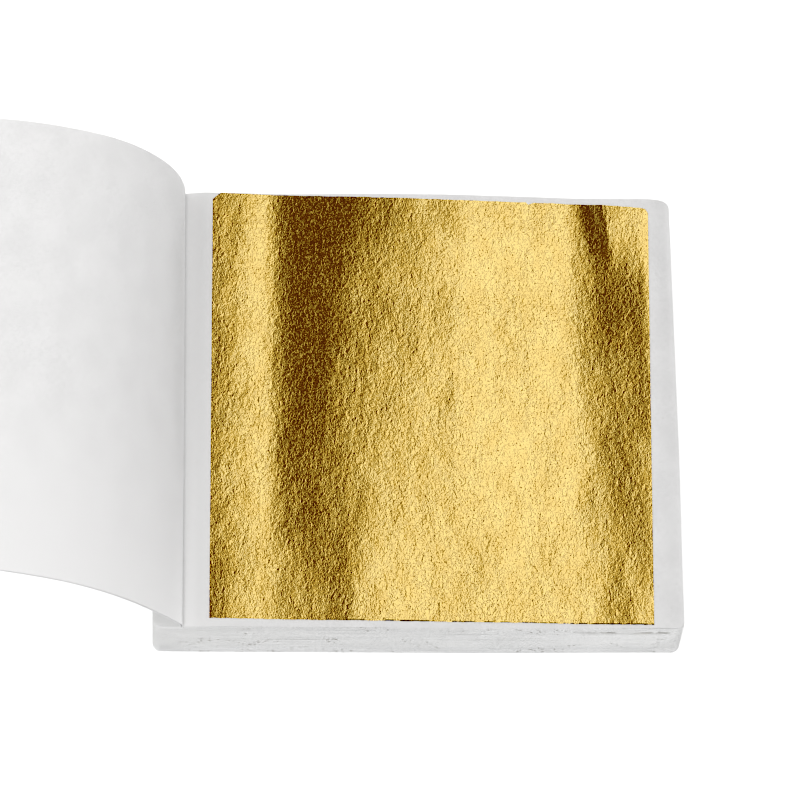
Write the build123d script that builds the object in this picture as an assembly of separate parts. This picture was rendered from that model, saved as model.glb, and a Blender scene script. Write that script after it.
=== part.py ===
"""Gold leaf booklet, in millimetres.

A thick side-stitched block of paper interleaves with one square of gold leaf lying on each. The booklet
lies open: the front cover and the first interleaf are folded back over the crease and curl away to the
left, and the next interleaf shows its leaf. X runs from the spine to the fore-edge, Y along the spine and
Z up. The origin is the middle of the underside of the back cover.
"""
import os
from math import ceil, cos, radians, sin

from build123d import *

# The gold leaves
leaf_width = 80.0
leaf_depth = 85.0
leaf_thick = 0.005
leaf_jog = 0.35
leaf_turn_deg = 0.3
top_leaf_shift_y = 0.43
top_leaf_turn_deg = -0.68
top_leaf_lift = 0.12

# The paper sheets: each is larger than its leaf by these margins and by the strip at the spine
side_margin = 4.95
end_margin = 1.25
bound_margin = 5.3
corner_radius = 1.5
corner_cuts = 3
interleaf_thick = 0.08
cover_thick = 0.25
edge_jog = 0.06

# The block: pairs of one interleaf and one leaf, shared out among ten groups
pair_count = 99
group_numbers = range(1, 11)
lay_gap = 0.011

# The top interleaf arches off the block between the crease and the fore-edge
arch_height = 1.3
arch_x_shares = (0.0, 0.035, 0.085, 0.15, 0.22, 0.31, 0.45, 0.60, 0.74, 0.84, 0.93, 1.0)
arch_z_shares = (0.0, 0.38, 0.78, 1.0, 0.93, 0.84, 0.85, 0.78, 0.63, 0.42, 0.18, 0.0)

# The two folded-back sheets. Both ends of the spine turn through the same angles, over runs of the sheet
# that differ, so every facet between them is flat: the sheet bends without stretching, as paper does
fold_reach = 0.5
nest_gap = 0.2
stub_gap = 0.45
crease_heading_deg = 90.0
curl_turns_deg = (4.0, 31.0, 15.0, 15.0, 25.0, 40.0)
facet_turn_deg = 6.5
far_run_shares = (0.010, 0.132, 0.088, 0.084, 0.326, 0.360)
near_run_shares = (0.001, 0.007, 0.195, 0.140, 0.304, 0.353)

# The two wire stitches through the bound margin
wire_width = 0.7
wire_thick = 0.45
stitch_crown = 11.0
stitch_pitch = 44.0
stitch_bend = 0.6
clinch_length = 4.2

# Places worked out from the sizes
page_width = bound_margin + side_margin + leaf_width + side_margin
page_depth = end_margin + leaf_depth + end_margin
pair_pitch = interleaf_thick + leaf_thick + 2 * lay_gap
block_low_z = cover_thick
top_sheet_z = block_low_z + pair_count * pair_pitch
stub_low_z = top_sheet_z + interleaf_thick
fold_z = stub_low_z + interleaf_thick + cover_thick
spine_x = -page_width / 2
fore_x = page_width / 2
crease_x = spine_x + bound_margin
free_width = page_width - bound_margin
free_centre_x = (crease_x + fore_x) / 2
flap_width = free_width - fold_reach
block_top_z = fold_z + arch_height


def write(node, shape):
    """Write one named sub-part."""
    export_step(shape, f"parts/{node}.step")


def sway(index, step):
    """A steady but uneven swing between -1 and 1 for sheet number index."""
    return sin(radians(index * step))


# Flat sheets


def trimmed_outline():
    """A sheet's outline. Each rounded corner is a few short cuts, because a hundred sheets have it."""
    reach_x = page_width / 2 - corner_radius
    reach_y = page_depth / 2 - corner_radius
    points = []
    for quarter, (side_x, side_y) in enumerate(((1, 1), (-1, 1), (-1, -1), (1, -1))):
        for cut in range(corner_cuts + 1):
            angle = radians(90 * (quarter + cut / corner_cuts))
            across = side_x * reach_x + corner_radius * cos(angle)
            along = side_y * reach_y + corner_radius * sin(angle)
            points.append((across, along))
    return Polygon(*points, align=None)


def sheet_blank(thick):
    """A trimmed sheet, its underside at zero height."""
    return extrude(trimmed_outline(), thick)


def leaf_blank():
    """A square-cut leaf of beaten metal, its underside at zero height."""
    return extrude(Rectangle(leaf_width, leaf_depth), leaf_thick)


def interleaf_place(index):
    """Where interleaf number index lies, a hair out of line with its neighbours."""
    height = block_low_z + index * pair_pitch
    return Pos(edge_jog * sway(index, 137.5), edge_jog * sway(index, 81.3), height)


def leaf_place(index):
    """Where the leaf on interleaf number index lies, laid by hand and never quite square."""
    height = block_low_z + index * pair_pitch + interleaf_thick + lay_gap
    across = free_centre_x + leaf_jog * sway(index, 97.1)
    along = leaf_jog * sway(index, 151.7)
    return Pos(across, along, height) * Rot(0, 0, leaf_turn_deg * sway(index, 63.9))


def build_block():
    """The interleaves and leaves under the top one, ten of each to a group."""
    blank = sheet_blank(interleaf_thick)
    gold = leaf_blank()
    group_size = ceil(pair_count / len(group_numbers))
    for number in group_numbers:
        members = range((number - 1) * group_size, min(number * group_size, pair_count))
        write(f"interleaves_{number:02d}", Compound([interleaf_place(i) * blank for i in members]))
        write(f"gold_leaves_{number:02d}", Compound([leaf_place(i) * gold for i in members]))


# The arched top interleaf and the leaf on it


def arch_edges(height):
    """The bound margin and the arch behind it, seen from the front, at a height."""
    rise = [
        Vector(crease_x + free_width * across, 0, height + arch_height * up)
        for across, up in zip(arch_x_shares, arch_z_shares)
    ]
    margin = Edge.make_line(Vector(spine_x, 0, height), rise[0])
    return [margin, Edge.make_spline(rise)]


def draped(outline, height, thick):
    """A sheet of the given outline that follows the arch, with its underside at a height."""
    lower = arch_edges(height)
    upper = arch_edges(height + thick)
    ends = [Edge.make_line(lower[0] @ 0, upper[0] @ 0), Edge.make_line(lower[1] @ 1, upper[1] @ 1)]
    section = Face(Wire(lower + upper + ends))
    slab = extrude(section, page_depth / 2, dir=(0, 1, 0), both=True)
    return slab & Pos(0, 0, height) * extrude(outline, block_top_z)


def build_top_page():
    """The interleaf in view and the leaf that lies on it."""
    write("top_interleaf", draped(trimmed_outline(), top_sheet_z, interleaf_thick))
    place = Pos(free_centre_x, top_leaf_shift_y) * Rot(0, 0, top_leaf_turn_deg)
    outline = place * Rectangle(leaf_width, leaf_depth)
    write("top_gold_leaf", draped(outline, stub_low_z + top_leaf_lift, leaf_thick))


# The covers and the folded-back interleaf


def stub(height, thick):
    """The part of a folded-back sheet that the stitches hold: its strip between spine and crease."""
    keep = Pos(crease_x - stub_gap - page_width / 2, 0) * Rectangle(page_width, page_depth)
    return Pos(0, 0, height) * extrude(trimmed_outline() & keep, thick)


def side_of(heading):
    """The unit vector a quarter turn to the left of a heading."""
    return Vector(-sin(radians(heading)), 0, cos(radians(heading)))


def curl_rail(along, run_shares, inset):
    """The points of the curled section at one end of the spine, inset from the sheet's upper face."""
    heading = crease_heading_deg
    spot = Vector(crease_x, along, fold_z + fold_reach)
    rail = [spot + inset * side_of(heading)]
    for share, turn in zip(run_shares, curl_turns_deg):
        radius = flap_width * share / radians(turn)
        centre = spot + radius * side_of(heading)
        facets = ceil(turn / facet_turn_deg)
        for facet in range(1, facets + 1):
            rail.append(centre - (radius - inset) * side_of(heading + turn * facet / facets))
        heading += turn
        spot = centre - radius * side_of(heading)
    return rail


def curl_section(along, run_shares, inset, thick):
    """The closed outline of a curled sheet at one end of the spine."""
    upper = curl_rail(along, run_shares, inset)
    lower = curl_rail(along, run_shares, inset + thick)
    return Face(Wire.make_polygon(upper + lower[::-1]))


def curled_sheet(inset, thick):
    """A sheet that rises steeply at the far end, leans over at the near end and droops to the left."""
    near = curl_section(-page_depth / 2, near_run_shares, inset, thick)
    far = curl_section(page_depth / 2, far_run_shares, inset, thick)
    return loft([near, far], ruled=True)


def build_covers():
    """The back cover under the block, and the two sheets folded back from it."""
    write("back_cover", sheet_blank(cover_thick))
    write("turned_interleaf_stub", stub(stub_low_z, interleaf_thick))
    write("front_cover_stub", stub(stub_low_z + interleaf_thick, cover_thick))
    write("turned_interleaf", curled_sheet(0, interleaf_thick))
    write("front_cover", curled_sheet(interleaf_thick + nest_gap, cover_thick))


# The wire stitches


def stitch():
    """One wire stitch: a crown on the cover's stub, two legs through the block and clinched ends."""
    crown_z = fold_z + wire_thick / 2
    clinch_z = block_low_z + wire_thick / 2
    side = stitch_crown / 2
    tip = side - clinch_length
    corners = [
        (0, -tip, clinch_z),
        (0, -side, clinch_z),
        (0, -side, crown_z),
        (0, side, crown_z),
        (0, side, clinch_z),
        (0, tip, clinch_z),
    ]
    route = FilletPolyline(*corners, radius=stitch_bend)
    start = Plane(corners[0], x_dir=(1, 0, 0), z_dir=(0, -1, 0))
    return sweep(start * Rectangle(wire_width, wire_thick), path=route)


def build_stitches():
    """Both stitches, in the middle of the bound margin."""
    one = stitch()
    across = spine_x + bound_margin / 2
    places = [Pos(across, along, 0) for along in (-stitch_pitch / 2, stitch_pitch / 2)]
    write("wire_stitches", Compound([place * one for place in places]))


os.makedirs("parts", exist_ok=True)
build_block()
build_top_page()
build_covers()
build_stitches()
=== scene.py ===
"""Looks of the gold leaf booklet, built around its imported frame, in metres.

The booklet lies open on a pale floor. The interleaf in view arches off the block and carries its leaf of
beaten gold; the first interleaf and the front cover are folded back over the crease and curl to the left.
"""
from math import ceil, cos, hypot, pi, radians, sin

import bpy
import numpy as np
from mathutils import Matrix


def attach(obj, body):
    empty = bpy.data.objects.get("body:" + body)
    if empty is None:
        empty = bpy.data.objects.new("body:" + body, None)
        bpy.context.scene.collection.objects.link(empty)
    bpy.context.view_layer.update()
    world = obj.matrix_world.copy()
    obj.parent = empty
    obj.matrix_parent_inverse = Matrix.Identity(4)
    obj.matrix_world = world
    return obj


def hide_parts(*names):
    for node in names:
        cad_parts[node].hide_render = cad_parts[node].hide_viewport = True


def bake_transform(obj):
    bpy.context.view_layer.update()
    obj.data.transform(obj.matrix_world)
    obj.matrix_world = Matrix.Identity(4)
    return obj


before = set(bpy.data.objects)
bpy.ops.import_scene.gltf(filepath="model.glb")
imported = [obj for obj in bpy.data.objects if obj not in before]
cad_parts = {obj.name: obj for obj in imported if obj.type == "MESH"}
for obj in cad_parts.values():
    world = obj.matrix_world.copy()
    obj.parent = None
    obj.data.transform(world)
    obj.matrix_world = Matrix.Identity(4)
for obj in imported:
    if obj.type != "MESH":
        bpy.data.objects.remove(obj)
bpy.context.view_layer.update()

MM = 0.001

# Sizes of the booklet in millimetres, as the frame has them
leaf_width = 80.0
leaf_depth = 85.0
leaf_shift_y = 0.43
leaf_turn_deg = -0.68
leaf_lift = 0.12
page_width = 95.2
page_depth = 87.5
bound_margin = 5.3
corner_radius = 1.5
interleaf_thick = 0.08
cover_thick = 0.25
edge_jog = 0.06
pair_count = 99
pair_pitch = 0.107
group_count = 10
spine_x = -page_width / 2
fore_x = page_width / 2
crease_x = spine_x + bound_margin
free_width = page_width - bound_margin
block_low_z = cover_thick
top_sheet_z = block_low_z + pair_count * pair_pitch
stub_low_z = top_sheet_z + interleaf_thick
fold_z = stub_low_z + interleaf_thick + cover_thick

# Where points stand closer together on a rounded corner, as shares of its radius
corner_spots = np.array((0.03, 0.12, 0.27, 0.5, 0.75))

# How far the knife drew the fore-edge in at its near end, and the far and near edges at the fore-edge
trim_fore_edge = 0.33
trim_far_edge = 0.5
trim_near_edge = 0.3

# The two folded-back sheets. The rounded corners take up the given share of the last arc
fold_reach = 0.5
nest_gap = 0.2
flap_width = free_width - fold_reach
curl_turns_deg = (4.0, 31.0, 15.0, 15.0, 25.0, 40.0)
far_run_shares = (0.010, 0.132, 0.088, 0.084, 0.326, 0.360)
near_run_shares = (0.001, 0.007, 0.195, 0.140, 0.304, 0.353)
page_fold_radius = 0.45
cover_fold_radius = 0.42
fold_steps = 8
rounded_share = 0.047

# Slow waves of a folded-back sheet, and of the interleaf in view: height, cells across and along, seed
flap_waves = ((0.10, 19.0, 30.0, 21), (0.04, 9.0, 14.0, 22))
page_waves = ((0.025, 7.0, 11.0, 5),)

# How the interleaf in view leans between these reaches from the crease, in degrees: one row for each of
# five places on Y, from the far end to the near. It starts with a step up at the crease
lean_reach = (0, 3.5, 8, 12, 16, 18.5, 21, 26, 30, 34, 38.5, 43, 50, 62, 72, 76, 79.5, 83, 86.5)
lean_places = (37.0, 21.0, 1.0, -19.0, -37.0)
leans_deg = (
    (9.4, -1.0, -1.6, -3.0, 0.0, 1.3, 2.6, 2.4, 1.1, 0.35, 0.1, -0.6, -1.3, -1.2, 1.35, 2.4, 2.6, 2.5),
    (9.4, -1.2, -1.9, -3.3, 0.1, 1.6, 1.7, 1.2, 0.15, -0.5, -0.1, -0.6, -1.2, -0.9, 1.3, 3.0, 2.5, 3.3),
    (9.0, -0.2, -2.0, -2.7, 0.4, 1.5, 1.7, 0.3, -0.15, -0.55, -0.5, -0.8, -1.4, -0.9, 1.1, 2.1, 1.9, 3.1),
    (8.4, -0.5, -1.6, -2.5, 0.3, 0.9, 0.75, 0.35, -0.25, -0.35, -1.0, -0.7, -1.1, -0.85, 0.85, 1.5, 2.6, 2.2),
    (7.9, 0.3, -1.2, -1.5, -1.2, -0.5, 0.35, 1.0, -0.85, -1.6, -1.0, -1.0, -0.6, -0.3, 0.35, 2.0, 1.0, 1.4),
)
lean_softness = 1.3
crease_lift = 0.28
crease_run = 0.34
corner_lift = 0.16

# The sharp fold in the leaf: a slanting line, by its reach from the crease at the far edge, and two slopes
fold_line_reach = 77.35
fold_line_far = 41.2
fold_line_slant = 0.115
fold_left_width = 4.6
fold_right_width = 7.0
fold_height = 0.27

# The leaf's hand-cut far and near edges, as places across the leaf and along it, and its slight taper
leaf_far_line = (
    (-40, 42.75), (-30, 42.7), (-12, 42.4), (5, 42.2), (22, 42.1), (31, 41.85), (36, 41.5), (41, 41.1),
)
leaf_near_line = ((-40, -43.15), (-20, -43.1), (5, -42.9), (15, -42.8), (40, -42.85))
leaf_taper = 0.0085
leaf_taper_change = 0.0012
leaf_spread = 0.1
leaf_film = 0.012
leaf_corner_radius = 0.9
fray_height = 0.05

# A worn place in the leaf's far edge
worn_middle = 20.0
worn_reach = 2.2
worn_depth = 0.55

# How many points the fine grids have: over the leaf's width and depth, and along the spine in the sheets
leaf_grid = (161, 171)
page_rows = 89
flap_rows = 56

# Crinkle of the leaf in view, from broad to fine: height, cells across and along, seed
leaf_crinkle = ((0.026, 6.0, 10.0, 11), (0.008, 2.3, 3.8, 12), (0.003, 1.1, 1.9, 13))

# Gaps that stand open at the near side: number of the sheet under it, from x, to x, height
open_gaps = (
    (82, 29.0, 44.5, 0.90),
    (91, 20.0, 34.0, 0.22),
    (86, -30.0, -12.0, 0.12),
    (80, -4.0, 9.0, 0.14),
    (72, -36.0, -24.0, 0.10),
    (61, -18.0, 2.0, 0.10),
    (46, 10.0, 33.0, 0.09),
    (30, -30.0, -8.0, 0.10),
    (17, 12.0, 36.0, 0.08),
    (8, -22.0, 14.0, 0.10),
)

# How high the painted shadow in the widest gap stands, and the sheets next to it, which lie further back
gap_z = 9.15
recessed_sheets = range(78, 83)
recess_depth = 0.6

# The trimming knife's marks: nicks in the near side, over part of its height, and a hollow under the top
nick_places = (14.3, 43.4)
nicks_below_top = (1.5, 7.0)
hollow_depth = 0.5
hollow_height = 1.5
trim_spread = 0.015
rim_slack = 0.055

# The middle of each sheet of the block is one flat face, this far in from its rim
inner_margin_x = 4.2
inner_margin_y = 1.15

# The wire stitches
wire_width = 0.7
wire_thick = 0.45
wire_edge = 0.16
stitch_crown = 11.0
stitch_pitch = 44.0
stitch_bend = 0.6
clinch_length = 4.2

# The softened rim of the card under the block
card_rim = 0.04


# Shapes


def smooth_step(value):
    """A soft passage from zero to one."""
    value = np.clip(value, 0, 1)
    return value * value * (3 - 2 * value)


def soft_noise(across, along, cell_across, cell_along, seed):
    """Smooth seeded unevenness between -1 and 1, with cells of the given size."""
    rows, columns = 160, 160
    lattice = np.random.default_rng(seed).uniform(-1, 1, (rows, columns))
    place_a = np.asarray(across) / cell_across + rows / 2
    place_b = np.asarray(along) / cell_along + columns / 2
    low_a = np.floor(place_a).astype(int)
    low_b = np.floor(place_b).astype(int)
    share_a = smooth_step(place_a - low_a)
    share_b = smooth_step(place_b - low_b)

    def corner(step_a, step_b):
        return lattice[(low_a + step_a) % rows, (low_b + step_b) % columns]

    near = corner(0, 0) * (1 - share_a) + corner(1, 0) * share_a
    far = corner(0, 1) * (1 - share_a) + corner(1, 1) * share_a
    return near * (1 - share_b) + far * share_b


def layered_noise(across, along, layers):
    """Several soft noises added up, each given by its height, its cells and its seed."""
    return sum(height * soft_noise(across, along, *cells) for height, *cells in layers)


def corner_cut(distance, radius):
    """How far a rounded corner draws the side in, at a distance from the end."""
    inside = np.clip(radius - np.asarray(distance), 0, radius)
    return radius - np.sqrt(radius * radius - inside * inside)


def stations(start, end, spacing):
    """Places along a sheet, closer together where its corners are rounded."""
    places = np.linspace(start, end, ceil((end - start) / spacing) + 1)
    close = corner_radius * corner_spots
    return np.unique(np.concatenate((places, start + close, end - close)))


def make_piece(name, points, faces, flat=None):
    """A smooth-shaded piece from points in millimetres, with its flat layout as a UV map."""
    mesh = bpy.data.meshes.new(name)
    mesh.from_pydata((np.asarray(points) * MM).tolist(), [], faces)
    mesh.polygons.foreach_set("use_smooth", [True] * len(mesh.polygons))
    mesh.set_sharp_from_angle(angle=radians(40))
    if flat is not None:
        corners = np.empty(len(mesh.loops), int)
        mesh.loops.foreach_get("vertex_index", corners)
        layer = mesh.uv_layers.new(name="flat")
        layer.data.foreach_set("uv", (np.asarray(flat)[corners] * MM).ravel())
    piece = bpy.data.objects.new(name, mesh)
    bpy.context.scene.collection.objects.link(piece)
    return piece


def sheet_piece(name, upper, lower, flat):
    """A closed thin sheet from the grids of its upper and lower faces."""
    rows, columns = upper.shape[:2]
    number = np.arange(rows * columns).reshape(rows, columns)
    below = rows * columns
    top = np.stack((number[:-1, :-1], number[1:, :-1], number[1:, 1:], number[:-1, 1:]), -1).reshape(-1, 4)
    ring = np.concatenate((number[:-1, 0], number[-1, :-1], number[:0:-1, -1], number[0, :0:-1]))
    after = np.roll(ring, -1)
    rim = np.stack((after, ring, ring + below, after + below), -1)
    faces = np.concatenate((top, top[:, ::-1] + below, rim)).tolist()
    points = np.concatenate((upper.reshape(-1, 3), lower.reshape(-1, 3)))
    layout = np.concatenate((flat.reshape(-1, 2), flat.reshape(-1, 2)))
    return make_piece(name, points, faces, layout)


def trim_shift(x, y):
    """How far the knife drew the paper in at a place: the block isn't quite square."""
    right = smooth_step((x - 5) / 42)
    near = smooth_step((-y - 5) / 38)
    shift_x = -trim_fore_edge * near * np.maximum(x, 0) / (page_width / 2)
    shift_y = -y / (page_depth / 2) * right * np.where(y > 0, trim_far_edge, trim_near_edge)
    return shift_x, shift_y


def page_relief(across, along):
    """Height of the interleaf in view over the block, at a reach from the crease and a place on Y."""
    offsets = np.linspace(-2, 2, 9)
    weights = np.exp(-offsets * offsets / 2)
    weights /= weights.sum()
    softness = np.clip(0.17 * across, 0.1, lean_softness)
    rows = []
    for leans in leans_deg:
        steps = np.tan(np.radians(leans)) * np.diff(lean_reach)
        lifts = crease_lift + np.concatenate(((0.0,), np.cumsum(steps), (-crease_lift,)))
        reach = lean_reach + (free_width,)
        rows.append(sum(
            weight * np.interp(across + softness * offset, reach, lifts, crease_lift, 0)
            for weight, offset in zip(weights, offsets)
        ))
    rows = np.array(rows)
    place = np.interp(-np.asarray(along), [-spot for spot in lean_places], range(len(lean_places)))
    low = np.clip(np.floor(place).astype(int), 0, len(lean_places) - 2)
    share = smooth_step(place - low)
    pick = np.arange(rows[0].size).reshape(rows[0].shape)
    flat_rows = rows.reshape(len(rows), -1)
    first = flat_rows[low, pick]
    second = flat_rows[low + 1, pick]
    settle = smooth_step((free_width - across) / 2.5)
    return (first * (1 - share) + second * share) * settle


def fold_relief(across, along):
    """The one sharp fold in the leaf, a ridge near its far right corner."""
    line = fold_line_reach + (fold_line_far - along) * fold_line_slant
    side = across - line
    fade = smooth_step((along - 25.0) / 14.0)
    left = np.clip(1 + side / fold_left_width, 0, 1)
    right = np.clip(1 - side / fold_right_width, 0, 1)
    return fold_height * fade * np.where(side < 0, left * left * (1.8 - 0.8 * left), right)


def build_top_page():
    """The interleaf in view, arched off the block, with its bound margin flat under the stubs."""
    across = stations(spine_x, fore_x, 1.0)
    across = np.unique(np.concatenate((across, crease_x + np.linspace(-crease_run, 1.0, 16))))
    half = page_depth / 2 - corner_cut(np.minimum(across - spine_x, fore_x - across), corner_radius)
    spread = np.linspace(-1, 1, page_rows)
    x = np.repeat(across[:, None], len(spread), 1)
    y = half[:, None] * spread[None, :]
    reach = x - crease_x
    ripple = layered_noise(x, y, page_waves) * smooth_step((reach - 1) / 5)
    ripple = ripple * smooth_step((free_width - reach) / 4)
    rise = crease_lift * np.clip((reach + crease_run) / crease_run, 0, 1) ** 2
    lift = np.where(reach > 0, page_relief(np.maximum(reach, 0), y) + ripple, rise)
    lift = lift + corner_lift * smooth_step((reach - 82) / 6) * smooth_step((-y - 37) / 6)
    shift_x, shift_y = trim_shift(x, y)
    lower = np.stack((x + shift_x, y + shift_y, top_sheet_z + np.maximum(lift, 0)), -1)
    upper = lower + np.array((0, 0, interleaf_thick))
    return sheet_piece("top_page", upper, lower, np.stack((x, y), -1))


def build_top_leaf():
    """The leaf in view: thin beaten metal that follows the page, crinkled all over, with worn edges."""
    across = np.linspace(-leaf_width / 2, leaf_width / 2, leaf_grid[0])
    spread = np.linspace(0, 1, leaf_grid[1])
    far = np.interp(across, *zip(*leaf_far_line)) - np.maximum(0, 1.3 - (across + leaf_width / 2))
    far = far - corner_cut(leaf_width / 2 - across, leaf_corner_radius)
    worn = np.abs(across - worn_middle) < worn_reach
    far = far - worn * np.maximum(0, soft_noise(across, 0 * across, 0.7, 1.0, 41)) * worn_depth
    far = far + fray_height * soft_noise(across, 0 * across, 0.8, 1.0, 42)
    near = np.interp(across, *zip(*leaf_near_line))
    near = near + fray_height * soft_noise(across, 0 * across, 0.6, 1.0, 43)
    v = near[:, None] * (1 - spread) + far[:, None] * spread
    side = across[:, None]
    taper = leaf_taper + leaf_taper_change * side / leaf_width
    u = side + v * taper * side * 2 / leaf_width + leaf_spread * side / leaf_width
    turn = radians(leaf_turn_deg)
    centre_x = (crease_x + fore_x) / 2
    x = centre_x + u * cos(turn) - v * sin(turn)
    y = leaf_shift_y + u * sin(turn) + v * cos(turn)
    reach = x - crease_x
    lift = page_relief(reach, y) + fold_relief(reach, y)
    crinkle = layered_noise(u, v, leaf_crinkle)
    lower = np.stack((x, y, stub_low_z + leaf_lift + lift + crinkle), -1)
    upper = lower + np.array((0, 0, leaf_film))
    return sheet_piece("top_leaf", upper, lower, np.stack((u, v), -1))


def side_of(heading):
    """The unit vector a quarter turn to the left of a heading, across the spine."""
    return np.array((-sin(radians(heading)), cos(radians(heading))))


def folded_rail(run_shares, stub_inset, flap_inset, fold_radius):
    """One end's line of a folded-back sheet, from the spine over the crease to the free edge."""
    low = stub_low_z + stub_inset
    fold_start = crease_x - flap_inset - fold_radius
    rail = [np.array((x, low)) for x in stations(spine_x, fold_start, 0.8)]
    centre = np.array((fold_start, low + fold_radius))
    for step in range(1, fold_steps + 1):
        rail.append(centre - fold_radius * side_of(90 * step / fold_steps))
    spot = np.array((crease_x, fold_z + fold_reach))
    rail.append(spot + flap_inset * side_of(90))
    heading = 90
    for share, turn in zip(run_shares, curl_turns_deg):
        radius = flap_width * share / radians(turn)
        centre = spot + radius * side_of(heading)
        parts = np.linspace(0, 1, ceil(turn / 2.2) + 4)[1:]
        if turn == curl_turns_deg[-1]:
            parts = np.unique(np.concatenate((parts, 1 - rounded_share * corner_spots)))
        rail += [centre - (radius - flap_inset) * side_of(heading + turn * part) for part in parts]
        heading += turn
        spot = centre - radius * side_of(heading)
    return np.array(rail)


def run_length(rail):
    """Distance travelled along a rail at each of its points."""
    steps = np.hypot(*np.diff(rail, axis=0).T)
    return np.concatenate(((0.0,), np.cumsum(steps)))


def build_folded_sheet(name, thick, stub_inset, flap_inset, fold_radius):
    """A folded-back sheet in one piece: bound strip, crease and curl, bent without stretching."""
    grids = []
    spread = np.linspace(0, 1, flap_rows)
    for inset, radius in ((thick, fold_radius - thick), (0, fold_radius)):
        near, far = (
            folded_rail(shares, stub_inset + inset, flap_inset + inset, radius)
            for shares in (near_run_shares, far_run_shares)
        )
        near_run, far_run = run_length(near), run_length(far)
        near_cut, far_cut = (
            corner_cut(np.minimum(run, run[-1] - run), corner_radius) / page_depth
            for run in (near_run, far_run)
        )
        share = near_cut[:, None] + spread[None, :] * (1 - near_cut - far_cut)[:, None]
        x = near[:, 0, None] * (1 - share) + far[:, 0, None] * share
        z = near[:, 1, None] * (1 - share) + far[:, 1, None] * share
        y = (share - 0.5) * page_depth
        along = near_run[:, None] * (1 - share) + far_run[:, None] * share
        ease = smooth_step((along - bound_margin - 3) / 14)
        wave = layered_noise(along, y, flap_waves)
        slope_x, slope_z = np.gradient(x, axis=0), np.gradient(z, axis=0)
        size = np.hypot(slope_x, slope_z)
        x = x - ease * wave * slope_z / size
        z = z + ease * wave * slope_x / size
        grids.append((np.stack((x, y, z), -1), np.stack((along, y), -1)))
    (upper, flat), (lower, _) = grids
    return sheet_piece(name, upper, lower, flat)


def trimmed_ring(spacing, corner_steps):
    """The outline of a trimmed sheet, anticlockwise from the near left corner."""
    reach_x = page_width / 2 - corner_radius
    reach_y = page_depth / 2 - corner_radius

    def corner_point(side_x, side_y, angle):
        across = side_x * reach_x + corner_radius * cos(radians(angle))
        along = side_y * reach_y + corner_radius * sin(radians(angle))
        return across, along

    points = []
    corners = ((-1, -1, 180), (1, -1, 270), (1, 1, 0), (-1, 1, 90))
    for (side_x, side_y, angle), following in zip(corners, corners[1:] + corners[:1]):
        for step in range(corner_steps + 1):
            points.append(corner_point(side_x, side_y, angle + 90 * step / corner_steps))
        start, end = points[-1], corner_point(*following)
        count = ceil(hypot(end[0] - start[0], end[1] - start[1]) / spacing)
        for step in range(1, count):
            points.append(tuple(a + (b - a) * (step / count) for a, b in zip(start, end)))
    return np.array(points)


def slab_faces(count, start):
    """Faces of one sheet of the block: rim, two margins and two flat middles over a ring of points."""
    here = np.arange(count)
    after = np.roll(here, -1)
    top_rim, top_in, low_rim, low_in = (start + part * count for part in range(4))
    faces = np.concatenate((
        np.stack((top_rim + here, top_rim + after, top_in + after, top_in + here), -1),
        np.stack((low_rim + after, low_rim + here, low_in + here, low_in + after), -1),
        np.stack((top_rim + after, top_rim + here, low_rim + here, low_rim + after), -1),
    )).tolist()
    faces.append((top_in + here).tolist())
    faces.append((low_in + here)[::-1].tolist())
    return faces


def at_near_side(ring):
    """Which points of an outline lie on the straight near side."""
    return ring[:, 1] < 0.001 - page_depth / 2


def nicked_ring():
    """The outline of the block's sheets, with close points at the knife's nicks."""
    ring = trimmed_ring(3.5, 5)
    near_side = np.flatnonzero(at_near_side(ring))
    marks = [(place + step, -page_depth / 2) for place in nick_places for step in (-0.3, 0.0, 0.3)]
    side = np.array(sorted(map(tuple, np.concatenate((ring[near_side], marks)))))
    return np.concatenate((ring[:near_side[0]], side, ring[near_side[-1] + 1:]))


def uneven_heights(ring, random):
    """How far each sheet of the block lies over or under its even place, at each point of its rim."""
    count = len(ring)
    air = pair_pitch - interleaf_thick
    rough = random.normal(0, 1, (pair_count - 1, count // 3))
    spots = np.arange(count) * rough.shape[1] / count
    low = np.floor(spots).astype(int)
    share = smooth_step(spots - low)
    uneven = rough[:, low] * (1 - share) + rough[:, (low + 1) % rough.shape[1]] * share
    gaps = np.exp(1.1 * uneven)
    near_side = smooth_step((-ring[:, 1] - page_depth / 2 + 1.2) / 0.6)
    for sheet, start, end, height in open_gaps:
        window = smooth_step((ring[:, 0] - start) / 3 + 0.5) * smooth_step((end - ring[:, 0]) / 3 + 0.5)
        gaps[sheet] += near_side * window * height / air
    gaps = gaps / gaps.mean(axis=0)
    return np.concatenate((np.zeros((1, count)), np.cumsum((gaps - 1) * air, axis=0)))


def sheet_rim(ring, sheet, random):
    """The rim of one sheet of the block, which hand and knife left a little off the others."""
    across, at_near = ring[:, 0], at_near_side(ring)
    jog = np.array((sin(radians(sheet * 137.5)), sin(radians(sheet * 81.3)))) * edge_jog
    trim = trim_spread * random.normal(0, 1, 2)
    rim = ring + jog + trim * np.sign(ring) + np.column_stack(trim_shift(*ring.T))
    most = np.array((page_width / 2, page_depth / 2)) + rim_slack
    rim = np.clip(rim, -most, most)
    below_top = (pair_count - sheet) * pair_pitch
    hollow = smooth_step((across + 42) / 4) * smooth_step((17 - across) / 16) * at_near
    rim[:, 1] += hollow_depth * hollow * np.exp(-(below_top / hollow_height) ** 2)
    if sheet in recessed_sheets:
        window = smooth_step((across - 28) / 4) * smooth_step((45.5 - across) / 2)
        rim[:, 1] += recess_depth * at_near * window
    if nicks_below_top[0] < below_top < nicks_below_top[1]:
        rim[:, 1] += (at_near & np.isin(across, nick_places)) * max(0.0, random.normal(0.05, 0.16))
    return rim


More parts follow.
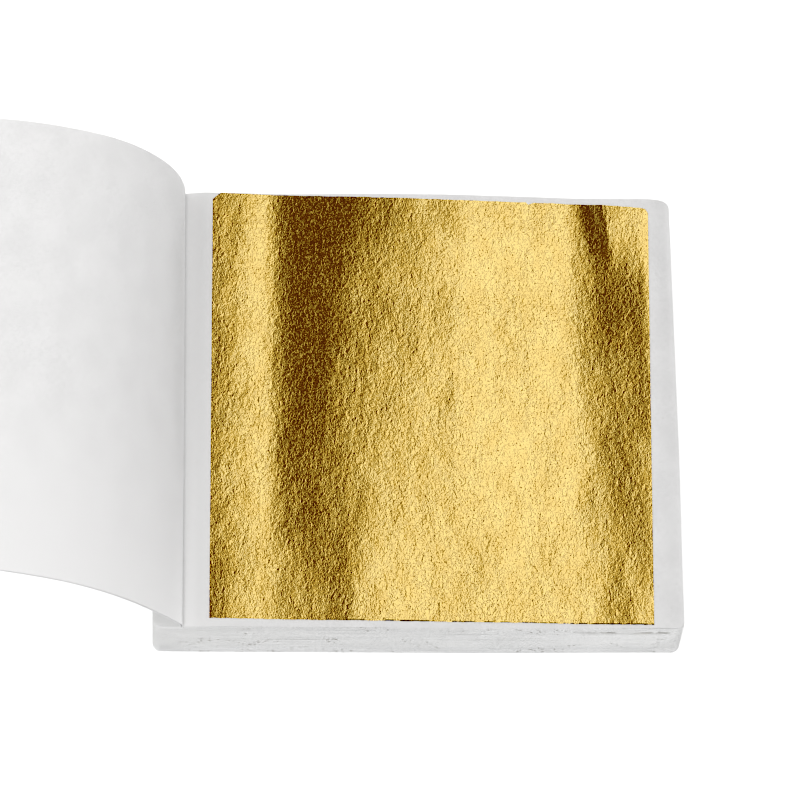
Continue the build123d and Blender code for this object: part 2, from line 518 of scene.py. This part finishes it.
def build_block():
    """The interleaves under the one in view, each trimmed a hair differently and lying a little unevenly."""
    ring = nicked_ring()
    count = len(ring)
    inner = ring * np.array((1 - inner_margin_x / (page_width / 2), 1 - inner_margin_y / (page_depth / 2)))
    random = np.random.default_rng(77)
    drift = uneven_heights(ring, random)
    group_size = ceil(pair_count / group_count)
    pieces = []
    for group in range(group_count):
        points, faces = [], []
        for sheet in range(group * group_size, min((group + 1) * group_size, pair_count)):
            low_z = block_low_z + sheet * pair_pitch
            rim = sheet_rim(ring, sheet, random)
            faces += slab_faces(count, len(points) * count)
            for height in (interleaf_thick, 0):
                points.append(np.column_stack((rim, low_z + height + drift[sheet])))
                points.append(np.column_stack((inner, np.full(count, low_z + height))))
        points = np.concatenate(points)
        pieces.append(make_piece(f"page_group_{group + 1:02d}", points, faces, points[:, :2]))
    return pieces


def build_back_cover():
    """The card under the block, its upper edge softened by handling."""
    ring = trimmed_ring(8.0, 8)
    ring = ring + np.column_stack(trim_shift(*ring.T))
    levels = ((0.0, card_rim), (card_rim, 0.0), (cover_thick - card_rim, 0.0), (cover_thick, card_rim))
    count = len(ring)
    points, faces = [], []
    for height, inset in levels:
        scale = np.array((1 - inset / (page_width / 2), 1 - inset / (page_depth / 2)))
        points.append(np.column_stack((ring * scale, np.full(count, height))))
    here = np.arange(count)
    after = np.roll(here, -1)
    for level in range(len(levels) - 1):
        low, high = level * count, (level + 1) * count
        faces += np.stack((low + here, low + after, high + after, high + here), -1).tolist()
    faces.append(here[::-1].tolist())
    faces.append(((len(levels) - 1) * count + here).tolist())
    points = np.concatenate(points)
    return make_piece("back_card", points, faces, points[:, :2])


def build_stitches():
    """Two flat-wire stitches with rounded wire edges, bent over at the ends."""
    crown_z = fold_z + wire_thick / 2
    clinch_z = block_low_z + wire_thick / 2
    side = stitch_crown / 2
    tip = side - clinch_length
    corners = (
        (-tip, clinch_z), (-side, clinch_z), (-side, crown_z),
        (side, crown_z), (side, clinch_z), (tip, clinch_z),
    )
    line, headings = [np.array(corners[0])], [np.array((-1.0, 0.0))]
    for before, corner, after in zip(corners, corners[1:], corners[2:]):
        into = np.subtract(corner, before) / hypot(*np.subtract(corner, before))
        out = np.subtract(after, corner) / hypot(*np.subtract(after, corner))
        start = np.array(corner) - stitch_bend * into
        centre = start + stitch_bend * out
        for step in range(9):
            turn = pi / 2 * step / 8
            line.append(centre - stitch_bend * out * cos(turn) + stitch_bend * into * sin(turn))
            headings.append(into * cos(turn) + out * sin(turn))
    line.append(np.array(corners[-1]))
    headings.append(np.array((-1.0, 0.0)))
    section = []
    for side_x, side_y, angle in ((1, 1, 0), (-1, 1, 90), (-1, -1, 180), (1, -1, 270)):
        for step in range(4):
            turn = radians(angle + 30 * step)
            section.append((side_x * (wire_width / 2 - wire_edge) + wire_edge * cos(turn),
                            side_y * (wire_thick / 2 - wire_edge) + wire_edge * sin(turn)))
    count = len(section)
    points, faces = [], []
    across = spine_x + bound_margin / 2
    for middle in (-stitch_pitch / 2, stitch_pitch / 2):
        start = len(points)
        for spot, heading in zip(line, headings):
            normal = np.array((-heading[1], heading[0]))
            for wide, thick in section:
                along, height = spot + thick * normal
                points.append((across + wide, middle + along, height))
        for ring in range(len(line) - 1):
            for spot in range(count):
                here, after = start + ring * count + spot, start + ring * count + (spot + 1) % count
                faces.append((after, here, here + count, after + count))
        faces.append([start + spot for spot in range(count)])
        faces.append([start + (len(line) - 1) * count + spot for spot in reversed(range(count))])
    return make_piece("stitch_wires", points, faces)


# Materials

deep_gold = (0.93, 0.70, 0.215, 1)
pale_gold = (0.98, 0.775, 0.265, 1)
pit_brown = (0.42, 0.24, 0.06, 1)
# Colour of the painted shadow along the leaf's lifted edges
edge_shadow_brown = (0.10, 0.055, 0.012, 1)
fleck_colour = (0.25, 0.19, 0.10, 1)
# Colour of the block's edge specks and of the painted gap shadow
speck_and_gap_shadow_colour = (0.22, 0.21, 0.18, 1)


def new_group(name, inputs, outputs):
    """An empty shader node group with the named sockets."""
    group = bpy.data.node_groups.new(name, "ShaderNodeTree")
    for socket, kind, value in inputs:
        made = group.interface.new_socket(socket, in_out="INPUT", socket_type=kind)
        if value is not None:
            made.default_value = value
    for socket, kind in outputs:
        group.interface.new_socket(socket, in_out="OUTPUT", socket_type=kind)
    return group, group.nodes.new("NodeGroupInput"), group.nodes.new("NodeGroupOutput")


def place_node(tree, kind, **settings):
    """A node with its properties, and with plain values for its sockets, by name or by position."""
    values = settings.pop("values", {})
    node = tree.nodes.new(kind)
    for name, value in settings.items():
        setattr(node, name, value)
    for socket, value in values.items():
        node.inputs[socket].default_value = value
    return node


def stretched(tree, place, factors):
    """A place drawn out or in along each axis."""
    node = place_node(tree, "ShaderNodeVectorMath", operation="MULTIPLY", values={1: factors})
    tree.links.new(place, node.inputs[0])
    return node.outputs[0]


def split_axes(tree, place):
    """A place's three parts."""
    node = place_node(tree, "ShaderNodeSeparateXYZ")
    tree.links.new(place, node.inputs[0])
    return node.outputs


def noise(tree, place, cells, detail, roughness=0.5, distortion=0.0):
    """Noise over a place in metres, with cells of the given sizes in millimetres."""
    texture = place_node(tree, "ShaderNodeTexNoise", values={
        "Scale": 1.0, "Detail": detail, "Roughness": roughness, "Distortion": distortion})
    scaled = stretched(tree, place, tuple(1 / (MM * size) for size in cells))
    tree.links.new(scaled, texture.inputs["Vector"])
    return texture.outputs["Fac"]


def blend_value(tree, operation, *values):
    """A maths node of one to three values, each a socket or a number."""
    node = place_node(tree, "ShaderNodeMath", operation=operation)
    for spot, value in enumerate(values):
        if isinstance(value, (int, float)):
            node.inputs[spot].default_value = value
        else:
            tree.links.new(value, node.inputs[spot])
    return node.outputs[0]


def multiply(tree, value, *others):
    """Values multiplied together, each a socket or a number."""
    for other in others:
        value = blend_value(tree, "MULTIPLY", value, other)
    return value


def distance_from(tree, value, middle):
    """How far a value is from a middle, to either side."""
    return blend_value(tree, "ABSOLUTE", blend_value(tree, "SUBTRACT", value, middle))


def remap(tree, value, low, high, to_low=0.0, to_high=1.0):
    """A value passed softly from one range to another."""
    node = place_node(tree, "ShaderNodeMapRange", interpolation_type="SMOOTHSTEP", values={
        "From Min": low, "From Max": high, "To Min": to_low, "To Max": to_high})
    tree.links.new(value, node.inputs["Value"])
    return node.outputs["Result"]


def remap_plain(tree, value, low, high):
    """A value carried straight from one range to zero to one."""
    node = place_node(tree, "ShaderNodeMapRange", values={"From Min": low, "From Max": high})
    tree.links.new(value, node.inputs["Value"])
    return node.outputs["Result"]


def grey(level, warmth=0.0):
    """A colour of one level, with a little less blue where it is warm."""
    return level, level, level - warmth, 1


def mix_colour(tree, factor, first, second):
    """A colour between two, each a socket or a colour."""
    node = place_node(tree, "ShaderNodeMix", data_type="RGBA")
    tree.links.new(factor, node.inputs["Factor"])
    for spot, value in ((6, first), (7, second)):
        if isinstance(value, tuple):
            node.inputs[spot].default_value = value
        else:
            tree.links.new(value, node.inputs[spot])
    return node.outputs[2]


def paper_fibre_group():
    """Fibre, cloudy formation and rare flecks of a thin soft paper."""
    tree, given, result = new_group(
        "Paper fibre",
        (("Place", "NodeSocketVector", None), ("Fleck Share", "NodeSocketFloat", 0.5)),
        (("Height", "NodeSocketFloat"), ("Tone", "NodeSocketFloat"), ("Flecks", "NodeSocketFloat")),
    )
    place = given.outputs["Place"]
    long_way = noise(tree, place, (0.22, 1.1, 0.6), 3.0, 0.6, 0.3)
    cross_way = noise(tree, place, (0.9, 0.2, 0.6), 3.0, 0.6, 0.3)
    cloud = noise(tree, place, (5.0, 7.0, 6.0), 3.0, 0.55)
    fibre = multiply(tree, blend_value(tree, "ADD", long_way, cross_way), 0.5)
    tone = blend_value(tree, "ADD", multiply(tree, fibre, 0.75), multiply(tree, cloud, 0.25))
    fleck = remap(tree, noise(tree, place, (0.55, 0.8, 0.6), 1.0), 0.70, 0.76)
    rare = remap(tree, noise(tree, place, (4.0, 4.0, 4.0), 1.0), 0.45, 0.6)
    fleck = multiply(tree, fleck, rare, given.outputs["Fleck Share"])
    tree.links.new(fibre, result.inputs["Height"])
    tree.links.new(tone, result.inputs["Tone"])
    tree.links.new(fleck, result.inputs["Flecks"])
    return tree


def leaf_grain_group():
    """The fine leathery crinkle of beaten leaf, with pits and a slow change of tone."""
    tree, given, result = new_group(
        "Leaf grain",
        (("Place", "NodeSocketVector", None),),
        (("Height", "NodeSocketFloat"), ("Tone", "NodeSocketFloat"), ("Pits", "NodeSocketFloat")),
    )
    place = given.outputs["Place"]
    lines = noise(tree, place, (0.62, 0.85, 0.6), 1.0, distortion=0.6)
    lines = remap(tree, distance_from(tree, lines, 0.5), 0.0, 0.09)
    fine = noise(tree, place, (0.36, 0.46, 0.4), 0.0, distortion=1.4)
    fine = blend_value(tree, "ADD", multiply(tree, fine, 0.45), multiply(tree, lines, 0.20))
    broad = noise(tree, place, (1.1, 1.6, 1.0), 0.0, distortion=0.9)
    wide = noise(tree, place, (3.2, 6.0, 3.0), 2.0)
    pits = remap(tree, noise(tree, place, (0.34, 0.4, 0.4), 0.0), 0.29, 0.19)
    height = blend_value(tree, "ADD", fine, multiply(tree, broad, 0.9))
    height = blend_value(tree, "SUBTRACT", height, multiply(tree, pits, 0.25))
    tree.links.new(height, result.inputs["Height"])
    tree.links.new(wide, result.inputs["Tone"])
    tree.links.new(pits, result.inputs["Pits"])
    return tree


def new_material(name, values):
    """A material whose shader has the given plain values."""
    material = bpy.data.materials.new(name)
    material.use_nodes = True
    tree = material.node_tree
    shader = tree.nodes["Principled BSDF"]
    for socket, value in values.items():
        shader.inputs[socket].default_value = value
    return material, tree, shader


def surface_place(tree, flat_layout):
    """Where the surface is: on the sheet's flat layout, or in the booklet."""
    if flat_layout:
        return place_node(tree, "ShaderNodeUVMap", uv_map="flat").outputs["UV"]
    return place_node(tree, "ShaderNodeTexCoord").outputs["Object"]


def add_bump(tree, shader, height, depth):
    """Relief from a height, depth millimetres deep."""
    bump = place_node(tree, "ShaderNodeBump", values={"Strength": 1.0, "Distance": depth * MM})
    tree.links.new(height, bump.inputs["Height"])
    tree.links.new(bump.outputs["Normal"], shader.inputs["Normal"])


def paper_material(name, fibre, pale, deep, fleck_share, depth, flat_layout=True, roughness=0.75, painted_shading_bands=(),
                   streak=None, painted_fold_light=None):
    """White paper: two close tones through its fibre and clouds, a few flecks, and a fine tooth.

    Each tone band is painted light or painted shade, a lighter or darker colour along an axis of the layout:
    the axis, where the band starts along it and where it ends, and its colour. streak draws the fibre out
    along the cut edges of a stack, which get specks and a painted shadow in one gap too. The fold light is
    painted light, an emission beside the fold that lightens the shade there: where it fades out, is strongest
    and ends, and its strength.
    """
    material, tree, shader = new_material(name, {
        "Roughness": roughness, "Specular IOR Level": 0.25, "Sheen Weight": 0.08, "Sheen Roughness": 0.6})
    effect = place_node(tree, "ShaderNodeGroup", node_tree=fibre, values={"Fleck Share": fleck_share})
    place = surface_place(tree, flat_layout)
    axes = split_axes(tree, place)
    if streak:
        place = stretched(tree, place, streak)
    tree.links.new(place, effect.inputs["Place"])
    tone = remap(tree, effect.outputs["Tone"], 0.42, 0.58)
    colour = mix_colour(tree, tone, deep, pale)
    # Painted light and shade: each band lightens or darkens the colour along one axis
    for axis, start, end, shade in painted_shading_bands:
        colour = mix_colour(tree, remap_plain(tree, axes[axis], start * MM, end * MM), colour, shade)
    # Painted light: an emission beside the fold lightens the shade there
    if painted_fold_light:
        start, most, end, strength = painted_fold_light
        shine = remap_plain(tree, axes[0], start * MM, most * MM)
        inside = remap_plain(tree, axes[0], end * MM, most * MM)
        tree.links.new(multiply(tree, shine, inside), shader.inputs["Emission Color"])
        shader.inputs["Emission Strength"].default_value = strength
    # Specks on the cut edges, and a painted shadow in the gap near the top
    if streak:
        colour = mix_colour(tree, edge_specks_and_gap_shadow(tree), colour, speck_and_gap_shadow_colour)
    colour = mix_colour(tree, effect.outputs["Flecks"], colour, fleck_colour)
    tree.links.new(colour, shader.inputs["Base Color"])
    add_bump(tree, shader, effect.outputs["Height"], depth)
    return material


def edge_specks_and_gap_shadow(tree):
    """Specks in a few places of the block's cut edges, and the broken shadow in the gap near the top."""
    place = surface_place(tree, False)
    across, _, height = split_axes(tree, place)
    specks = remap(tree, noise(tree, place, (0.50, 0.5, 0.30), 0.0), 0.66, 0.73)
    places = remap(tree, noise(tree, place, (7.0, 7.0, 3.0), 0.0), 0.56, 0.64)
    gap = remap(tree, distance_from(tree, height, gap_z * MM), 0.45 * MM, 0.20 * MM)
    dashes = remap(tree, noise(tree, place, (1.5, 1.0, 0.5), 1.0), 0.38, 0.52)
    start = remap(tree, across, 26.0 * MM, 34.0 * MM)
    end = remap(tree, across, 46.2 * MM, 44.5 * MM)
    gap = multiply(tree, gap, dashes, multiply(tree, start, end))
    return blend_value(tree, "MAXIMUM", multiply(tree, specks, places, 0.7), multiply(tree, gap, 0.75))


def leaf_material(name, grain, depth, flat_layout):
    """Beaten gold leaf: crinkled metal, a touch browner in its pits."""
    material, tree, shader = new_material(name, {"Metallic": 1.0, "Roughness": 0.09})
    effect = place_node(tree, "ShaderNodeGroup", node_tree=grain)
    tree.links.new(surface_place(tree, flat_layout), effect.inputs["Place"])
    tone = remap(tree, effect.outputs["Tone"], 0.3, 0.7)
    colour = mix_colour(tree, tone, deep_gold, pale_gold)
    colour = mix_colour(tree, effect.outputs["Pits"], colour, pit_brown)
    # Painted shadow: dark broken dashes along the leaf's lifted near and left edges
    if flat_layout:
        colour = mix_colour(tree, edge_shadow_dashes(tree), colour, edge_shadow_brown)
    tree.links.new(colour, shader.inputs["Base Color"])
    add_bump(tree, shader, effect.outputs["Height"], depth)
    return material


def edge_shadow_dashes(tree):
    """Painted shadow of the leaf's lifted edges: dark broken dashes along the near edge, and a dark line down
    the low end of the left edge.
    """
    place = surface_place(tree, True)
    across, along, _ = split_axes(tree, place)
    dashes = remap(tree, noise(tree, place, (1.3, 2.6, 1.0), 2.0, 0.6), 0.42, 0.55)
    reach = remap_plain(tree, across, -24.0 * MM, -10.0 * MM)
    near_line = blend_value(tree, "MULTIPLY_ADD", across, 0.0038, -42.95 * MM)
    near = remap(tree, blend_value(tree, "SUBTRACT", along, near_line), 0.30 * MM, 0.16 * MM)
    near = multiply(tree, near, multiply(tree, reach, dashes))
    low = remap_plain(tree, along, -30.0 * MM, -38.0 * MM)
    left = remap(tree, across, -39.70 * MM, -39.85 * MM)
    return blend_value(tree, "MAXIMUM", near, multiply(tree, left, low, 0.9))


def wire_material():
    """Drawn steel wire with faint lines along its length."""
    material, tree, shader = new_material("Stitch wire", {"Metallic": 1.0})
    place = surface_place(tree, False)
    lines = noise(tree, place, (0.05, 3.0, 3.0), 2.0, 0.6)
    cloud = noise(tree, place, (0.8, 1.2, 0.8), 2.0, 0.5)
    tree.links.new(remap(tree, cloud, 0.3, 0.7, 0.22, 0.38), shader.inputs["Roughness"])
    tree.links.new(mix_colour(tree, cloud, grey(0.62, 0.01), grey(0.74, 0.01)), shader.inputs["Base Color"])
    add_bump(tree, shader, lines, 0.004)
    return material


def clothe(piece, material):
    """Puts one material on a piece."""
    piece.data.materials.clear()
    piece.data.materials.append(material)


# The studio

# The camera: its place in metres, and its lens in pixels of a picture this wide
camera_spot = (-0.0447, -0.395, 0.8182)
lens_pixels = 4944.5
picture_pixels = 800
sensor_width = 36.0

# The light tent: left, right and low down, and the shaded ends of the strip overhead
tent_left = (2.35, 2.355, 2.36, 1)
tent_right = (0.54, 0.542, 0.545, 1)
tent_low = (0.52, 0.522, 0.525, 1)
strip_end = (0.30, 0.19, 0.07, 1)

# The strip overhead from left to right, as slope and light, with the dark flag in its middle
strip_left = -0.6
strip_right = 0.7
strip_stops = (
    (-0.60, (1.0, 1.0, 1.0)),
    (-0.26, (1.0, 1.0, 1.0)),
    (-0.17, (0.10, 0.045, 0.015)),
    (0.00, (0.095, 0.042, 0.010)),
    (0.03, (0.15, 0.080, 0.022)),
    (0.046, (0.38, 0.26, 0.09)),
    (0.06, (0.80, 0.68, 0.44)),
    (0.074, (1.09, 1.07, 1.10)),
    (0.50, (1.12, 1.10, 1.19)),
)

# The floor's half side, and how far it lies under the booklet, in millimetres
floor_reach = 3000.0
floor_z = -0.03

# The picture's tones for all colours, and for blue on top: given level, shown level
all_tones = ((0.025, 0.009), (0.06, 0.034), (0.12, 0.098), (0.26, 0.237), (0.60, 0.594))
blue_tones = ((0.042, 0.032), (0.115, 0.096), (0.195, 0.224), (0.30, 0.318), (0.42, 0.42), (0.60, 0.60))

# How strong a colour is where the render's own grain starts to be kept, and where all of it is
grain_start = 0.10
grain_whole = 0.22
crispness = 0.035


def aim_camera():
    """The camera where the photograph was taken from: high over the near side, turned a little."""
    data = bpy.data.cameras.new("Camera")
    data.sensor_width = sensor_width
    data.lens = lens_pixels / picture_pixels * sensor_width
    data.clip_start = 0.05
    data.clip_end = 20.0
    camera = bpy.data.objects.new("Camera", data)
    bpy.context.scene.collection.objects.link(camera)
    turn = Matrix.Rotation(radians(-6.0), 4, "Z")
    turn = turn @ Matrix.Rotation(radians(26.29), 4, "X") @ Matrix.Rotation(radians(5.85), 4, "Z")
    camera.matrix_world = Matrix.Translation(camera_spot) @ turn
    bpy.context.scene.camera = camera


def light_studio():
    """A white light tent with a strip overhead that a dark flag divides."""
    world = bpy.data.worlds.new("Light tent")
    bpy.context.scene.world = world
    world.use_nodes = True
    tree = world.node_tree
    x, y, z = split_axes(tree, place_node(tree, "ShaderNodeTexCoord").outputs["Generated"])
    height = blend_value(tree, "MAXIMUM", z, 0.02)
    across = blend_value(tree, "DIVIDE", x, height)
    along = blend_value(tree, "DIVIDE", y, height)
    slant = multiply(tree, blend_value(tree, "SUBTRACT", along, 0.48), 0.25)
    across = blend_value(tree, "SUBTRACT", across, slant)
    ramp = place_node(tree, "ShaderNodeValToRGB")
    elements = ramp.color_ramp.elements
    while len(elements) < len(strip_stops):
        elements.new(0.5)
    for element, (place, colour) in zip(elements, strip_stops):
        element.position = (place - strip_left) / (strip_right - strip_left)
        element.color = colour + (1.0,)
    tree.links.new(remap_plain(tree, across, strip_left, strip_right), ramp.inputs[0])
    shade = remap(tree, distance_from(tree, along, 0.49), 0.07, 0.25, 0.0, 0.8)
    strip = mix_colour(tree, shade, ramp.outputs[0], strip_end)
    strip_x = multiply(tree, remap(tree, across, strip_left, -0.4), remap(tree, across, strip_right, 0.5))
    strip_y = multiply(tree, remap(tree, along, 0.05, 0.2), remap(tree, along, 1.0, 0.8))
    tent = mix_colour(tree, remap_plain(tree, x, -1.0, 1.0), tent_left, tent_right)
    tent = mix_colour(tree, remap(tree, z, 0.85, 0.05), tent, tent_low)
    light = mix_colour(tree, multiply(tree, strip_x, strip_y), tent, strip)
    tree.links.new(light, tree.nodes["Background"].inputs[0])


def lay_floor():
    """A plain pale floor under the booklet."""
    corners = [(x * floor_reach, y * floor_reach, floor_z) for x, y in ((-1, -1), (1, -1), (1, 1), (-1, 1))]
    floor = make_piece("floor", corners, [(0, 1, 2, 3)])
    material, _, _ = new_material("Studio floor", {
        "Base Color": grey(0.93), "Roughness": 0.9, "Specular IOR Level": 0.1,
        "Emission Color": grey(1.0), "Emission Strength": 0.34})
    floor.data.materials.append(material)


def set_tones():
    """Plain picture tones with the darker ones a little deeper, as a camera gives them."""
    view = bpy.context.scene.view_settings
    view.view_transform = "Standard"
    view.use_curve_mapping = True
    blue, every = view.curve_mapping.curves[2:4]
    for curve, tones in ((every, all_tones), (blue, blue_tones)):
        for given, shown in tones:
            curve.points.new(given, shown)
    view.curve_mapping.update()


def keep_leaf_crisp():
    """Clears the render's grain where the picture is colourless, and keeps it in the gold's fine crinkle."""
    scene = bpy.context.scene
    scene.cycles.use_denoising = False
    scene.use_nodes = True
    tree = scene.node_tree
    tree.nodes.clear()
    layers = tree.nodes.new("CompositorNodeRLayers")
    clear = tree.nodes.new("CompositorNodeDenoise")
    split = tree.nodes.new("CompositorNodeSeparateColor")
    split.mode = "HSV"
    gold = tree.nodes.new("CompositorNodeMapRange")
    gold.use_clamp = True
    limits = {"From Min": grain_start, "From Max": grain_whole, "To Min": 0.0, "To Max": 1.0}
    for socket, value in limits.items():
        gold.inputs[socket].default_value = value
    crisp = tree.nodes.new("CompositorNodeFilter")
    crisp.filter_type = "SHARPEN"
    crisp.inputs[0].default_value = crispness
    mix = tree.nodes.new("CompositorNodeMixRGB")
    out = tree.nodes.new("CompositorNodeComposite")
    for source, target in (
        (layers.outputs["Image"], clear.inputs["Image"]),
        (layers.outputs["Image"], crisp.inputs["Image"]),
        (clear.outputs["Image"], split.inputs["Image"]),
        (split.outputs[1], gold.inputs["Value"]),
        (gold.outputs[0], mix.inputs[0]),
        (clear.outputs["Image"], mix.inputs[1]),
        (crisp.outputs["Image"], mix.inputs[2]),
        (mix.outputs["Image"], out.inputs["Image"]),
    ):
        tree.links.new(source, target)


aim_camera()
light_studio()
lay_floor()

fibre = paper_fibre_group()
grain = leaf_grain_group()
# Painted light toward the near end, painted shade on the bound strip under the fold, and painted light from
# an emission in the fold
turned_paper = paper_material(
    "Turned page paper", fibre, grey(0.845), grey(0.765), fleck_share=0.12, depth=0.030,
    painted_shading_bands=((1, -5.0, -42.0, grey(0.86)), (0, 6.0, 5.0, grey(0.70))),
    painted_fold_light=(10.0, 6.6, 5.6, 0.065),
)
# Painted light: lighter toward the crease, and an emission beside it, against the shade of the turned page
page_paper = paper_material(
    "Page paper", fibre, grey(0.69), grey(0.625), fleck_share=0.2, depth=0.024,
    painted_shading_bands=((0, crease_x + 16, crease_x, grey(0.705)),),
    painted_fold_light=(crease_x + 2.8, crease_x + 0.6, crease_x - 0.15, 0.10),
)
# Painted light: paler toward the bottom, against the shade near the floor; specks and a painted gap shadow on
# the cut edges
block_paper = paper_material(
    "Block paper", fibre, grey(0.78, 0.005), grey(0.73, 0.005), fleck_share=0.0, depth=0.002,
    flat_layout=False, painted_shading_bands=((2, 4.0, 0.4, grey(0.765)),), streak=(0.25, 0.25, 2.0),
)
# Painted shade: darker along the near edge of the card
cover_card = paper_material(
    "Cover card", fibre, grey(0.74, 0.005), grey(0.69, 0.005), fleck_share=0.3, depth=0.012,
    roughness=0.6, painted_shading_bands=((1, -43.5, -43.65, grey(0.64)),),
)
leaf_gold = leaf_material("Beaten gold leaf", grain, depth=0.019, flat_layout=True)
stack_gold = leaf_material("Stacked gold leaf", grain, depth=0.010, flat_layout=False)
wire_steel = wire_material()

top_page = build_top_page()
clothe(top_page, page_paper)
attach(top_page, "block")
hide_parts("top_interleaf")

top_leaf = build_top_leaf()
clothe(top_leaf, leaf_gold)
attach(top_leaf, "leaf")
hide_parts("top_gold_leaf")
top_leaf.visible_diffuse = False

turned_page = build_folded_sheet("turned_page", interleaf_thick, 0, 0, page_fold_radius)
clothe(turned_page, turned_paper)
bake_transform(turned_page)
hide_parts("turned_interleaf", "turned_interleaf_stub")

cover_sheet = build_folded_sheet(
    "cover_sheet", cover_thick, interleaf_thick, interleaf_thick + nest_gap, cover_fold_radius)
clothe(cover_sheet, cover_card)
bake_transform(cover_sheet)
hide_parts("front_cover", "front_cover_stub")

for number, group in enumerate(build_block(), 1):
    clothe(group, block_paper)
    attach(group, "block")
    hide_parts(f"interleaves_{number:02d}")
    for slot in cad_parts[f"gold_leaves_{number:02d}"].material_slots:
        slot.material = stack_gold

back_card = build_back_cover()
clothe(back_card, cover_card)
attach(back_card, "block")
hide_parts("back_cover")

stitches = build_stitches()
clothe(stitches, wire_steel)
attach(stitches, "block")
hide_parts("wire_stitches")

keep_leaf_crisp()
set_tones()
